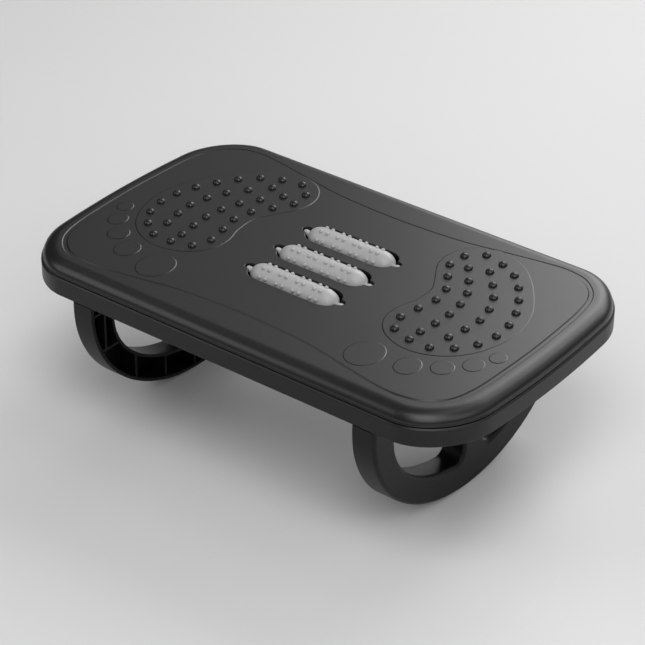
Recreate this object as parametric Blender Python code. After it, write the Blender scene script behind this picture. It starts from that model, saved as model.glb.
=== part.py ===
"""Rocking foot rest: a moulded board on two curved rockers, with three free-turning massage rollers.

Frame: X along the board's long side, Y across it (toes towards -Y, heels and user towards +Y), Z up.
The origin is on the floor, under the middle of the board. Units are metres.
"""

import math

import bmesh
import bpy

MM = 0.001

# Overall sizes.
BOARD_LENGTH = 450 * MM
BOARD_DEPTH = 271 * MM
ROCKER_HEIGHT = 119.7 * MM  # floor to the underside of the tray
SKIRT_HEIGHT = 16.3 * MM  # underside of the tray to the top of its rim
PANEL_ABOVE_TRAY = 27.8 * MM  # underside of the tray to the flat top panel

# Plan shape shared by the cover and the tray.
CORNER_RADIUS = 58 * MM
SIDE_BOW = 9 * MM  # how far the short sides bow outward
CORNER_STEPS = 8
SIDE_STEPS = 6

# Walls and gaps.
TOUCH_GAP = 0.3 * MM  # between two pieces that bear on each other
TRAY_FLOOR = 3.0 * MM
TRAY_WALL = 3.0 * MM
RIM_CHAMFER = 1.1 * MM
REVEAL_GAP = 0.9 * MM  # shadow line between the rim of the tray and the lip of the cover
COVER_INSET = 1.2 * MM
COVER_PLATE = 3.0 * MM
LIP_HEIGHT = 1.5 * MM
ROLL_WIDTH = 13.6 * MM  # the rolled edge of the cover, measured in plan
ROLL_STEPS = 5
TONGUE_WALL = 2.0 * MM
TONGUE_DEPTH = 5.9 * MM
PANEL_STEP = 0.4 * MM  # the panel stands this far above the rim of the cover
PANEL_STEP_RUN = 0.6 * MM
PRINT_STEP = 0.5 * MM  # the footprints stand this far above the panel
PRINT_STEP_RUN = 0.5 * MM

# Rollers. Each is one moulding that ends in two stub axles.
ROLLER_RADIUS = 10.4 * MM
ROLLER_PITCH = 37.7 * MM
ROLLER_AXIS_BELOW_PANEL = 4.3 * MM
ROLLER_BARREL_HALF = 29.5 * MM  # half the length that has the full radius
ROLLER_BODY_HALF = 42.4 * MM  # half the length with the domed ends
STUB_RADIUS = 3.2 * MM
STUB_END = 49 * MM
STUB_CLEARANCE = 0.2 * MM
ROLLER_SIDES = 24
NUB_ROWS = 8
NUB_SIZE = 3.0 * MM
NUB_HEIGHT = 1.7 * MM
NUB_PAIR_CENTRES = (-25.8, -8.6, 8.6, 25.8)
NUB_PAIR_HALF = 3.1
NUB_ROW_PHASE = math.radians(-20)
SLOT_CLEARANCE = 3.1 * MM

# Axle rails under the ends of the rollers.
RAIL_INNER_X = 44 * MM
RAIL_THICKNESS = 6 * MM
RAIL_END_MARGIN = 12.5 * MM

# Rockers.
ROCKER_INNER_X = 132.7 / 450 * BOARD_LENGTH
ROCKER_WIDTH = 21.6 * MM
ROCKER_STRAIGHT = 7.9 * MM  # upright part between the arc and the tray
ROCKER_ARC_STEPS = 41  # odd, so one facet lies flat on the floor
RING_SIDE = 27 * MM  # thickness of the ring at its two ends
RING_BOTTOM = 26.5 * MM  # thickness of the ring at its lowest place
OPENING_STRAIGHT = 19.7 * MM
POST_HALF = 13.25 * MM
ROCKER_WALL = 3.0 * MM
FLANGE_THICKNESS = 3.7 * MM
RIB_THICKNESS = 2.4 * MM
RIB_RECESS = 1.0 * MM

# Screws: one size everywhere.
SCREW_RADIUS = 1.5 * MM
SCREW_HEAD_RADIUS = 3.5 * MM
SCREW_HEAD_HEIGHT = 2.2 * MM
SCREW_SIDES = 10
PILOT_RADIUS = 1.8 * MM
THROUGH_RADIUS = 1.9 * MM
BOSS_RADIUS = 4.0 * MM
COVER_SCREW_LENGTH = 15 * MM
RAIL_SCREW_LENGTH = 12 * MM
ROCKER_SCREW_LENGTH = 14.2 * MM
ROCKER_BOSS_DEPTH = 9.2 * MM

# Derived heights.
TRAY_Z = ROCKER_HEIGHT
FLOOR_Z = TRAY_Z + TRAY_FLOOR
RIM_Z = TRAY_Z + SKIRT_HEIGHT
PANEL_Z = TRAY_Z + PANEL_ABOVE_TRAY
COVER_UNDER_Z = PANEL_Z - COVER_PLATE
LIP_Z = RIM_Z + REVEAL_GAP
AXLE_Z = PANEL_Z - ROLLER_AXIS_BELOW_PANEL
ROLLER_ROWS = (-ROLLER_PITCH, 0.0, ROLLER_PITCH)

# Outlines on the panel, in millimetres at the nominal board size. Each is one quarter or one foot.
PANEL_QUARTER = ((0, 98.5), (60, 101.5), (100, 108.5), (140, 115.8), (162, 117.8),
                 (182, 112.5), (198, 96.5), (205, 72), (207.5, 35), (208.3, 0))
SOLE = ((122, -61), (143, -58.5), (162, -47), (175, -29), (182.5, -4), (182.5, 18), (176, 42),
        (163, 64), (147, 84), (128, 100), (104, 107.5), (82, 99), (70.5, 81), (71.5, 60),
        (82, 40.5), (91, 23), (90.5, 2), (85.5, -18), (88, -37), (101, -53))
TOES = ((106.3, -85, 15.8, 18.8), (142.6, -79, 10.8, 12.8), (165, -64.7, 9.4, 10.4),
        (181.5, -47, 8.4, 10), (190.8, -27.4, 7, 8.1))

# Massage bumps: a ring of 20 along the edge of the sole and two rows of 7 inside it.
BUMP_RING = ((96, 94), (131, 82), (156, 52), (171, 16), (168, -21), (141, -48),
             (104, -43), (97, -26), (104, 11), (101, 30), (81, 63), (82, 81))
BUMP_RING_COUNT = 20
BUMP_ROWS = (((96, 68), (118, 35), (125, 2), (122, -34)), ((113, 74), (138, 43), (149, 9), (144, -27)))
BUMP_ROW_COUNT = 7
BUMP_ROW_POWER = 0.94  # the rows open up a little towards the heel
BUMP_RADIUS = 3.6 * MM
BUMP_HEIGHT = 2.6 * MM
BUMP_SIDES = 8

COVER_SCREWS = ((-190, -85), (-190, 85), (0, -101), (0, 101), (190, -85), (190, 85))
RAIL_SCREW_Y = (-18.85, 18.85)
ROCKER_SCREW_Y = (-117, 0, 117)


def plan(x, y):
    """A place on the board, given in millimetres at the nominal size, in metres at the real size."""
    return x * BOARD_LENGTH / 450, y * BOARD_DEPTH / 271


# ---------------------------------------------------------------- curves

def spline_point(p0, p1, p2, p3, t):
    """A point of the Catmull-Rom curve between p1 and p2."""
    return tuple(
        0.5 * (2 * b + (c - a) * t + (2 * a - 5 * b + 4 * c - d) * t * t + (3 * b - a - 3 * c + d) * t ** 3)
        for a, b, c, d in zip(p0, p1, p2, p3)
    )


def closed_curve(points, steps):
    """A smooth closed curve through the points, with this many steps from each to the next."""
    count = len(points)
    return [
        spline_point(points[i - 1], points[i], points[(i + 1) % count], points[(i + 2) % count], k / steps)
        for i in range(count) for k in range(steps)
    ]


def open_curve(points, steps):
    """A smooth curve through the points, straight past both ends."""
    first = tuple(2 * a - b for a, b in zip(points[0], points[1]))
    last = tuple(2 * a - b for a, b in zip(points[-1], points[-2]))
    full = [first, *points, last]
    curve = [
        spline_point(*full[i:i + 4], k / steps) for i in range(len(points) - 1) for k in range(steps)
    ]
    return curve + [tuple(points[-1])]


def along(curve, fractions):
    """The points of a polyline at these fractions of its length."""
    lengths = [0.0]
    for a, b in zip(curve, curve[1:]):
        lengths.append(lengths[-1] + math.dist(a, b))
    found = []
    for fraction in fractions:
        target = fraction * lengths[-1]
        i = max(k for k in range(len(curve) - 1) if lengths[k] <= target + 1e-12)
        t = (target - lengths[i]) / (lengths[i + 1] - lengths[i])
        found.append(tuple(a + (b - a) * t for a, b in zip(curve[i], curve[i + 1])))
    return found


def shrunk(points, distance):
    """A closed anticlockwise outline moved inward by this distance."""
    moved = []
    count = len(points)
    for i in range(count):
        (ax, ay), (bx, by) = points[i - 1], points[(i + 1) % count]
        length = math.hypot(bx - ax, by - ay)
        moved.append((points[i][0] - (by - ay) / length * distance, points[i][1] + (bx - ax) / length * distance))
    return moved


def ellipse(cx, cy, rx, ry, sides, phase=0.0):
    """A closed anticlockwise ellipse."""
    turns = [phase + 2 * math.pi * k / sides for k in range(sides)]
    return [(cx + rx * math.cos(t), cy + ry * math.sin(t)) for t in turns]


def anticlockwise(points):
    """The same outline, running anticlockwise."""
    area = sum(a[0] * b[1] - b[0] * a[1] for a, b in zip(points, points[1:] + points[:1]))
    return points if area > 0 else points[::-1]


def board_outline(inset):
    """The board's plan: a rounded rectangle whose short sides bow outward, moved inward by inset."""
    half_x, half_y = BOARD_LENGTH / 2 - inset, BOARD_DEPTH / 2 - inset
    radius = CORNER_RADIUS - inset
    flat_y = half_y - radius
    points = []
    for sx, sy, start in ((1, -1, -90), (1, 1, 0), (-1, 1, 90), (-1, -1, 180)):
        cx, cy = sx * (half_x - radius), sy * flat_y
        for k in range(CORNER_STEPS + 1):
            turn = math.radians(start + 90 * k / CORNER_STEPS)
            points.append((cx + radius * math.cos(turn), cy + radius * math.sin(turn)))
        if start in (-90, 90):
            points += [(sx * half_x, sy * flat_y * (1 - 2 * k / SIDE_STEPS)) for k in range(1, SIDE_STEPS)]
    bowed = []
    for x, y in points:
        share = min(max((abs(x) - (half_x - radius)) / radius, 0), 1)
        bowed.append((x - math.copysign(SIDE_BOW * (y / half_y) ** 2 * share, x), y))
    return bowed


def panel_outline():
    """The edge of the raised top panel: long sides that bow inward, and rounded corners."""
    right = list(PANEL_QUARTER) + [(x, -y) for x, y in PANEL_QUARTER[-2::-1]]
    left = [(-x, y) for x, y in right[-2:0:-1]]
    return anticlockwise([plan(*p) for p in closed_curve(right + left, 2)])


def sole_outline(side):
    return anticlockwise([plan(side * x, y) for x, y in closed_curve(SOLE, 2)])


def toe_outline(side, toe):
    x, y, rx, ry = toe
    cx, cy = plan(side * x, y)
    return ellipse(cx, cy, rx * MM, ry * MM, 14)


def bump_centres(side):
    """Places of the massage bumps of one foot."""
    ring = closed_curve(BUMP_RING, 12)
    centres = along(ring + ring[:1], [k / BUMP_RING_COUNT for k in range(BUMP_RING_COUNT)])
    for row in BUMP_ROWS:
        fractions = [(k / (BUMP_ROW_COUNT - 1)) ** BUMP_ROW_POWER for k in range(BUMP_ROW_COUNT)]
        centres += along(open_curve(row, 12), fractions)
    return [plan(side * x, y) for x, y in centres]


def slot_outline(row_y):
    """A slot over one roller: the roller's own outline plus a clearance, with a notch for each stub."""
    half = ROLLER_RADIUS + SLOT_CLEARANCE
    notch = STUB_RADIUS + STUB_CLEARANCE + 0.2 * MM
    start, end = ROLLER_BARREL_HALF + 1 * MM, ROLLER_BODY_HALF + 1.5 * MM
    tip = STUB_END + 1.4 * MM
    quarter = []
    for k in range(5):
        turn = math.radians(90 * k / 4 * 0.93)
        quarter.append((start + (end - start) * math.sin(turn), notch + (half - notch) * math.cos(turn)))
    quarter += [(tip - notch * 0.3, notch), (tip, notch * 0.5)]
    right = [(x, -y) for x, y in quarter] + quarter[::-1]
    return [(x, y + row_y) for x, y in right + [(-x, -y) for x, y in right]]


# ---------------------------------------------------------------- meshes

def ring_of(bm, outline, z):
    """A closed loop of new vertices at this height."""
    return [bm.verts.new((x, y, z)) for x, y in outline]


def skin(bm, *loops):
    """Joins loops with equal counts by bands of quads."""
    for low, high in zip(loops, loops[1:]):
        for i in range(len(low)):
            j = (i + 1) % len(low)
            bm.faces.new((low[i], low[j], high[j], high[i]))


def fill(bm, *loops):
    """Fills the flat region inside the first loop and outside the others."""
    edges = []
    for loop in loops:
        for i in range(len(loop)):
            pair = (loop[i - 1], loop[i])
            edges.append(bm.edges.get(pair) or bm.edges.new(pair))
    bmesh.ops.triangle_fill(bm, use_beauty=True, use_dissolve=False, edges=edges)


def place(name, bm, material, smooth=True, location=(0, 0, 0)):
    """Turns the bmesh into an object of the scene."""
    bmesh.ops.remove_doubles(bm, verts=bm.verts, dist=1e-6)
    bmesh.ops.recalc_face_normals(bm, faces=bm.faces)
    mesh = bpy.data.meshes.new(name)
    bm.to_mesh(mesh)
    bm.free()
    obj = bpy.data.objects.new(name, mesh)
    bpy.context.scene.collection.objects.link(obj)
    obj.location = location
    if smooth:
        mesh.shade_smooth()
        mesh.set_sharp_from_angle(angle=math.radians(35))
    if material:
        mesh.materials.append(material)
    return obj


def make_material(name, colour, roughness, metallic=0.0):
    material = bpy.data.materials.new(name)
    material.use_nodes = True
    shader = material.node_tree.nodes["Principled BSDF"]
    shader.inputs["Base Color"].default_value = (*colour, 1.0)
    shader.inputs["Roughness"].default_value = roughness
    shader.inputs["Metallic"].default_value = metallic
    return material


def helper(obj):
    """Marks an object as a cutter: hidden from renders and drawn as wire."""
    obj.hide_render = True
    obj.display_type = "WIRE"
    return obj


def cut(obj, cutter):
    """Takes the cutter away from the object with a live Boolean."""
    modifier = obj.modifiers.new("cut_" + cutter.name, "BOOLEAN")
    modifier.operation = "DIFFERENCE"
    modifier.solver = "EXACT"
    modifier.object = cutter


def extruded(bm, loops, x0, x1):
    """A solid between two X planes whose section is the region of the YZ loops."""
    edges = []
    for loop in loops:
        verts = [bm.verts.new((x0, y, z)) for y, z in loop]
        edges += [bm.edges.new((verts[i - 1], verts[i])) for i in range(len(verts))]
    bmesh.ops.triangle_fill(bm, use_beauty=True, use_dissolve=False, edges=edges)
    grown = bmesh.ops.extrude_face_region(bm, geom=bm.faces[:])
    moved = [v for v in grown["geom"] if isinstance(v, bmesh.types.BMVert)]
    bmesh.ops.translate(bm, verts=moved, vec=(x1 - x0, 0, 0))


def box(name, low, high):
    """A plain block used as a cutter."""
    bm = bmesh.new()
    bmesh.ops.create_cube(bm, size=1)
    for v in bm.verts:
        v.co = [low[i] + (v.co[i] + 0.5) * (high[i] - low[i]) for i in range(3)]
    return helper(place(name, bm, None, smooth=False))


def cylinders(name, spots, radius, z0, z1, sides=12):
    """Upright cylinders used as one cutter."""
    bm = bmesh.new()
    for x, y in spots:
        low = ring_of(bm, ellipse(x, y, radius, radius, sides), z0)
        high = ring_of(bm, ellipse(x, y, radius, radius, sides), z1)
        skin(bm, low, high)
        bm.faces.new(low)
        bm.faces.new(high)
    return helper(place(name, bm, None, smooth=False))


def round_body(profile, angles):
    """A body round the X axis through (x, radius) places, with its corner directions given."""
    bm = bmesh.new()
    loops = []
    for x, radius in profile:
        loops.append([bm.verts.new((x, radius * math.sin(a), radius * math.cos(a))) for a in angles])
    skin(bm, *loops)
    bm.faces.new(loops[0])
    bm.faces.new(loops[-1])
    return bm, loops


# ---------------------------------------------------------------- the pieces

def build_cover(material):
    """The top shell: rolled edge, raised panel, footprints, bumps, slots, tongue and screw bosses."""
    bm = bmesh.new()
    lip_in = COVER_INSET + TOUCH_GAP + (TRAY_WALL - COVER_INSET)
    tongue_in = lip_in + TONGUE_WALL
    tongue_z = LIP_Z - TONGUE_DEPTH
    roll_in = COVER_INSET + ROLL_WIDTH
    roll_z, edge_z = PANEL_Z - PANEL_STEP, LIP_Z + LIP_HEIGHT

    outer = [ring_of(bm, board_outline(tongue_in), tongue_z), ring_of(bm, board_outline(lip_in), tongue_z),
             ring_of(bm, board_outline(lip_in), LIP_Z), ring_of(bm, board_outline(COVER_INSET), LIP_Z)]
    for k in range(ROLL_STEPS + 1):
        turn = math.radians(90 * k / ROLL_STEPS)
        inset = COVER_INSET + ROLL_WIDTH * (1 - math.cos(turn))
        outer.append(ring_of(bm, board_outline(inset), edge_z + (roll_z - edge_z) * math.sin(turn)))
    skin(bm, *outer)

    panel_low = ring_of(bm, panel_outline(), roll_z)
    panel = ring_of(bm, shrunk(panel_outline(), PANEL_STEP_RUN), PANEL_Z)
    fill(bm, outer[-1], panel_low)
    skin(bm, panel_low, panel)

    holes = []
    for side in (-1, 1):
        for outline in [sole_outline(side)] + [toe_outline(side, toe) for toe in TOES]:
            low = ring_of(bm, outline, PANEL_Z)
            high = ring_of(bm, shrunk(outline, PRINT_STEP_RUN), PANEL_Z + PRINT_STEP)
            skin(bm, low, high)
            holes.append(low)
            bumps = bump_centres(side) if len(outline) == 2 * len(SOLE) else []
            bases = []
            for x, y in bumps:
                base = ring_of(bm, ellipse(x, y, BUMP_RADIUS, BUMP_RADIUS, BUMP_SIDES), PANEL_Z + PRINT_STEP)
                waist_z = PANEL_Z + PRINT_STEP + 0.62 * BUMP_HEIGHT
                waist = ring_of(bm, ellipse(x, y, 0.72 * BUMP_RADIUS, 0.72 * BUMP_RADIUS, BUMP_SIDES), waist_z)
                skin(bm, base, waist)
                tip = bm.verts.new((x, y, PANEL_Z + PRINT_STEP + BUMP_HEIGHT))
                for i in range(BUMP_SIDES):
                    bm.faces.new((waist[i - 1], waist[i], tip))
                bases.append(base)
            fill(bm, high, *bases)

    under_holes = []
    for row_y in ROLLER_ROWS:
        top = ring_of(bm, slot_outline(row_y), PANEL_Z)
        low = ring_of(bm, slot_outline(row_y), COVER_UNDER_Z)
        skin(bm, top, low)
        holes.append(top)
        under_holes.append(low)
    fill(bm, panel, *holes)

    for spot in COVER_SCREWS:
        x, y = plan(*spot)
        boss_z = FLOOR_Z + TOUCH_GAP
        pilot_z = TRAY_Z - TOUCH_GAP + COVER_SCREW_LENGTH + 1 * MM
        boss = ellipse(x, y, BOSS_RADIUS, BOSS_RADIUS, 12)
        pilot = ellipse(x, y, PILOT_RADIUS, PILOT_RADIUS, 12)
        loops = [ring_of(bm, boss, COVER_UNDER_Z), ring_of(bm, boss, boss_z), ring_of(bm, pilot, boss_z),
                 ring_of(bm, pilot, pilot_z)]
        skin(bm, *loops)
        bm.faces.new(loops[-1])
        under_holes.append(loops[0])

    inner = [outer[0]]
    for k in range(4):
        turn = math.radians(90 * k / 3)
        inset = tongue_in + (roll_in + 2 * MM - tongue_in) * (1 - math.cos(turn))
        inner.append(ring_of(bm, board_outline(inset), LIP_Z + (COVER_UNDER_Z - LIP_Z) * math.sin(turn)))
    skin(bm, *inner)
    fill(bm, inner[-1], *under_holes)
    return place("top_cover", bm, material)


def build_tray(material):
    """The tray under the cover: a flat floor with screw holes, and the skirt round it."""
    bm = bmesh.new()
    walls = [ring_of(bm, board_outline(0.6 * MM), TRAY_Z), ring_of(bm, board_outline(0), TRAY_Z + 0.6 * MM),
             ring_of(bm, board_outline(0), RIM_Z - RIM_CHAMFER), ring_of(bm, board_outline(RIM_CHAMFER), RIM_Z),
             ring_of(bm, board_outline(TRAY_WALL), RIM_Z), ring_of(bm, board_outline(TRAY_WALL), FLOOR_Z)]
    skin(bm, *walls)
    low, high = [], []
    for x, y in cover_screw_spots() + rail_screw_spots() + rocker_screw_spots():
        hole = ellipse(x, y, THROUGH_RADIUS, THROUGH_RADIUS, 12)
        low.append(ring_of(bm, hole, TRAY_Z))
        high.append(ring_of(bm, hole, FLOOR_Z))
        skin(bm, low[-1], high[-1])
    fill(bm, walls[0], *low)
    fill(bm, walls[-1], *high)
    return place("base_tray", bm, material)


def cover_screw_spots():
    return [plan(*spot) for spot in COVER_SCREWS]


def rail_screw_spots():
    x = RAIL_INNER_X + RAIL_THICKNESS / 2
    return [(side * x, y * ROLLER_PITCH / 37.7) for side in (-1, 1) for y in RAIL_SCREW_Y]


def rocker_screw_spots():
    x = ROCKER_INNER_X + 9.3 * MM
    return [(side * x, plan(0, y)[1]) for side in (-1, 1) for y in ROCKER_SCREW_Y]


def rocker_arc(wall):
    """The outer arc, from one end to the other. Its middle facet lies on the floor when wall is 0."""
    half_y = BOARD_DEPTH / 2 - wall
    rise = ROCKER_HEIGHT - ROCKER_STRAIGHT - wall
    flat = math.cos(math.pi / ROCKER_ARC_STEPS / 2)
    arc = []
    for k in range(ROCKER_ARC_STEPS + 1):
        turn = math.pi * (k / ROCKER_ARC_STEPS - 0.5)
        arc.append((half_y * math.sin(turn), wall + rise * (flat - math.cos(turn)) / flat))
    return arc


def opening_arc(wall):
    """The curved edge of the +Y opening, from the post outward, moved into the material by wall."""
    half_y = BOARD_DEPTH / 2 - RING_SIDE + wall
    top = ROCKER_HEIGHT - OPENING_STRAIGHT
    drop = top - RING_BOTTOM + wall
    post = POST_HALF - wall
    start = math.asin(post / half_y)
    arc = []
    for k in range(15):
        turn = start + (math.pi / 2 - start) * k / 14
        arc.append((half_y * math.sin(turn), top - drop * math.cos(turn)))
    return arc


def build_rocker(name, side, material):
    """One rocker: a curved ring with a middle post, hollow and ribbed on the side that faces inward."""
    inner_x, outer_x = side * ROCKER_INNER_X, side * (ROCKER_INNER_X + ROCKER_WIDTH)
    top = TRAY_Z - TOUCH_GAP
    arc = rocker_arc(0)
    outline = [(arc[0][0], top)] + arc + [(arc[-1][0], top)]
    opening = opening_arc(0)
    opening_top = top - FLANGE_THICKNESS
    right = opening + [(opening[-1][0], opening_top), (opening[0][0], opening_top)]
    left = [(-y, z) for y, z in right]
    bm = bmesh.new()
    extruded(bm, [outline, right, left], inner_x, outer_x)
    rocker = place(name, bm, material)

    # One hollow inside the walls, open towards the middle of the board, with the ribs left standing in it.
    pocket_top = top - ROCKER_WALL
    arc = rocker_arc(ROCKER_WALL)
    edge = opening_arc(ROCKER_WALL)
    right_edge = [(edge[-1][0], pocket_top)] + edge[::-1] + [(edge[0][0], pocket_top)]
    left_edge = [(-y, z) for y, z in right_edge[::-1]]
    outline = [(arc[0][0], pocket_top)] + arc + [(arc[-1][0], pocket_top)] + right_edge + left_edge
    bm = bmesh.new()
    extruded(bm, [outline], side * (ROCKER_INNER_X - 1 * MM), side * (ROCKER_INNER_X + ROCKER_WIDTH - ROCKER_WALL))
    pocket = helper(place(name + "_pocket", bm, None, smooth=False))
    rib_x = sorted((side * (ROCKER_INNER_X + RIB_RECESS), side * (ROCKER_INNER_X + ROCKER_WIDTH)))
    half = RIB_THICKNESS / 2
    deep = ROCKER_HEIGHT
    ribs = []
    for sign in (-1, 1):
        for y, z0, z1 in ((119, deep - 47 * MM, deep), (84, 0, deep * 0.5), (47, 0, deep * 0.4)):
            centre = sign * plan(0, y)[1]
            ribs.append((centre - half, z0, centre + half, z1))
        for z, y0, y1 in ((deep - 47 * MM, 98, 132), (deep - 10 * MM, 119, 136)):
            ends = sorted((sign * plan(0, y0)[1], sign * plan(0, y1)[1]))
            ribs.append((ends[0], z - half, ends[1], z + half))
        ribs.append((sign * (POST_HALF - 4.3 * MM) - half, 0, sign * (POST_HALF - 4.3 * MM) + half, RING_BOTTOM + 2 * MM))
    for i, (y0, z0, y1, z1) in enumerate(ribs):
        cut(pocket, box(f"{name}_rib_{i}", (rib_x[0], y0, z0), (rib_x[1], y1, z1)))
    spots = [spot for spot in rocker_screw_spots() if spot[0] * side > 0]
    boss_low = pocket_top - ROCKER_BOSS_DEPTH
    for i, spot in enumerate(spots):
        cut(pocket, cylinders(f"{name}_boss_{i}", [spot], BOSS_RADIUS, boss_low, top + 1 * MM))
    cut(rocker, pocket)
    pilot_low = FLOOR_Z + TOUCH_GAP - ROCKER_SCREW_LENGTH - 0.5 * MM
    cut(rocker, cylinders(name + "_pilots", spots, PILOT_RADIUS, pilot_low, top + 1 * MM))
    return rocker


def build_roller(name, row_y, material):
    """One massage roller: a barrel with domed ends, nubs in eight rows, and a stub axle at each end."""
    step = 2 * math.pi / ROLLER_SIDES
    angles = [NUB_ROW_PHASE + step * (k + 0.5) for k in range(ROLLER_SIDES)]
    centres = [c * MM + s * NUB_PAIR_HALF * MM for c in NUB_PAIR_CENTRES for s in (-1, 1)]
    nub_edges = [c + s * NUB_SIZE / 2 for c in centres for s in (-1, 1)]
    end = [(STUB_END, STUB_RADIUS - 0.5 * MM), (STUB_END - 0.5 * MM, STUB_RADIUS),
           (ROLLER_BODY_HALF + 0.6 * MM, STUB_RADIUS)]
    for k in (1, 2, 3):
        turn = math.radians(90 * (1 - k / 4))
        x = ROLLER_BARREL_HALF + 0.6 * MM + (ROLLER_BODY_HALF - ROLLER_BARREL_HALF) * math.sin(turn)
        end.append((x, STUB_RADIUS + (ROLLER_RADIUS - STUB_RADIUS) * math.cos(turn)))
    profile = [(-x, r) for x, r in end] + [(x, ROLLER_RADIUS) for x in nub_edges] + end[::-1]
    bm, loops = round_body(profile, angles)
    bm.faces.ensure_lookup_table()
    nub_faces = []
    for face in bm.faces:
        if len(face.verts) != 4:
            continue
        middle = face.calc_center_median()
        turn = math.atan2(middle.y, middle.z) - NUB_ROW_PHASE
        row = turn * NUB_ROWS / (2 * math.pi)
        on_row = abs(row - round(row)) < 0.02
        on_nub = any(abs(middle.x - c) < 0.1 * MM for c in centres)
        if on_row and on_nub:
            nub_faces.append(face)
    for face in bmesh.ops.extrude_discrete_faces(bm, faces=nub_faces)["faces"]:
        middle = face.calc_center_median()
        outward = (0, middle.y, middle.z)
        length = math.hypot(middle.y, middle.z)
        for v in face.verts:
            for i in range(3):
                v.co[i] = middle[i] + (v.co[i] - middle[i]) * 0.55 + outward[i] / length * NUB_HEIGHT
    return place(name, bm, material, location=(0, row_y, AXLE_Z))


def build_rail(name, side, material):
    """The rail under one end of the rollers, with an open saddle for each stub axle."""
    radius = STUB_RADIUS + STUB_CLEARANCE
    top, low = COVER_UNDER_Z - TOUCH_GAP, FLOOR_Z + TOUCH_GAP
    half = ROLLER_PITCH + RAIL_END_MARGIN
    outline = [(-half, low), (half, low), (half, top)]
    for row_y in ROLLER_ROWS[::-1]:
        outline.append((row_y + radius, top))
        outline += [(row_y + radius * math.cos(math.pi * k / 8), AXLE_Z - radius * math.sin(math.pi * k / 8))
                    for k in range(9)]
        outline.append((row_y - radius, top))
    outline.append((-half, top))
    bm = bmesh.new()
    extruded(bm, [outline], side * RAIL_INNER_X, side * (RAIL_INNER_X + RAIL_THICKNESS))
    rail = place(name, bm, material, smooth=False)
    spots = [spot for spot in rail_screw_spots() if spot[0] * side > 0]
    pilot_top = TRAY_Z - TOUCH_GAP + RAIL_SCREW_LENGTH + 0.6 * MM
    cut(rail, cylinders(name + "_pilots", spots, PILOT_RADIUS, low - 1 * MM, pilot_top))
    return rail


def build_screw(name, spot, seat_z, direction, length, material):
    """A pan-head screw. Its head bears at seat_z and its shank runs in this direction along Z."""
    bm = bmesh.new()
    head, shank = SCREW_HEAD_RADIUS, SCREW_RADIUS
    profile = [(-SCREW_HEAD_HEIGHT, 0.62 * head), (-0.55 * SCREW_HEAD_HEIGHT, head), (0, head), (0, shank),
               (length - 1.2 * MM, shank), (length, 0.35 * shank)]
    loops = [ring_of(bm, ellipse(0, 0, r, r, SCREW_SIDES), direction * z) for z, r in profile]
    skin(bm, *loops)
    bm.faces.new(loops[0])
    bm.faces.new(loops[-1])
    return place(name, bm, material, location=(*spot, seat_z))


def main():
    for obj in list(bpy.data.objects):
        bpy.data.objects.remove(obj, do_unlink=True)
    build_cover(make_material("cover_plastic", (0.030, 0.031, 0.032), 0.42))
    build_tray(make_material("tray_plastic", (0.022, 0.022, 0.023), 0.48))
    rocker_plastic = (0.024, 0.024, 0.025)
    build_rocker("rocker_left", -1, make_material("rocker_left_plastic", rocker_plastic, 0.45))
    build_rocker("rocker_right", 1, make_material("rocker_right_plastic", rocker_plastic, 0.45))
    for name, row_y in zip(("roller_front", "roller_middle", "roller_rear"), ROLLER_ROWS):
        build_roller(name, row_y, make_material(name + "_plastic", (0.42, 0.42, 0.42), 0.5))
    for name, side in (("axle_rail_left", -1), ("axle_rail_right", 1)):
        build_rail(name, side, make_material(name + "_plastic", (0.02, 0.02, 0.02), 0.5))
    steel = make_material("screw_steel", (0.45, 0.45, 0.46), 0.35, 1.0)
    below = TRAY_Z - TOUCH_GAP
    for i, spot in enumerate(cover_screw_spots(), 1):
        build_screw(f"cover_screw_{i}", spot, below, 1, COVER_SCREW_LENGTH, steel)
    for i, spot in enumerate(rail_screw_spots(), 1):
        build_screw(f"rail_screw_{i}", spot, below, 1, RAIL_SCREW_LENGTH, steel)
    for i, spot in enumerate(rocker_screw_spots(), 1):
        build_screw(f"rocker_screw_{i}", spot, FLOOR_Z + TOUCH_GAP, -1, ROCKER_SCREW_LENGTH, steel)


main()
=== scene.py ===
"""Looks of a rocking foot rest: satin black mouldings, three grey massage rollers and zinc-plated screws.

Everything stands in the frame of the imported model, in metres: X along the board, Y across it towards the
heels, Z up from the floor. Each class builds one sub-assembly from its own sizes and dresses it.
"""

import logging
import math
from dataclasses import dataclass
from enum import Enum

import bmesh
import bpy
from mathutils import Matrix, Vector


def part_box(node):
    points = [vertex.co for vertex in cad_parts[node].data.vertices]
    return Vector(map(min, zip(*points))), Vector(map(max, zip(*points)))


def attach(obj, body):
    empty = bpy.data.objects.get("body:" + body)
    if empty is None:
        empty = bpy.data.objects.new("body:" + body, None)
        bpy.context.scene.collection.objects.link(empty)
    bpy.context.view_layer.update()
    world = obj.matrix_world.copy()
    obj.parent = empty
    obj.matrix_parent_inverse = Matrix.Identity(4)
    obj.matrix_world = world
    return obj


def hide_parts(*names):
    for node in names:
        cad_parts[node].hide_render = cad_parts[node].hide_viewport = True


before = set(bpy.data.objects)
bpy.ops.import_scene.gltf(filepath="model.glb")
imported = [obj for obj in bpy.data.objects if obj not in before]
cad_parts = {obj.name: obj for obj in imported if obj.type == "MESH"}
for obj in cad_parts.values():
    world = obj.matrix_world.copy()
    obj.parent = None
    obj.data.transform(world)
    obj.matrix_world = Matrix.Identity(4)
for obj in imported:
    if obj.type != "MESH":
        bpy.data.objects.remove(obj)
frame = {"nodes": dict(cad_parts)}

LOG = logging.getLogger("foot_rest")
MM = 0.001
# Edges that turn more than this many degrees look sharp, unless a piece says otherwise.
SHARP_ANGLE = 32.0
# The turn and the growth of wires while they are filled: see fill().
FILL_TURN = 11.0
FILL_GROWTH = 1000
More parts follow.
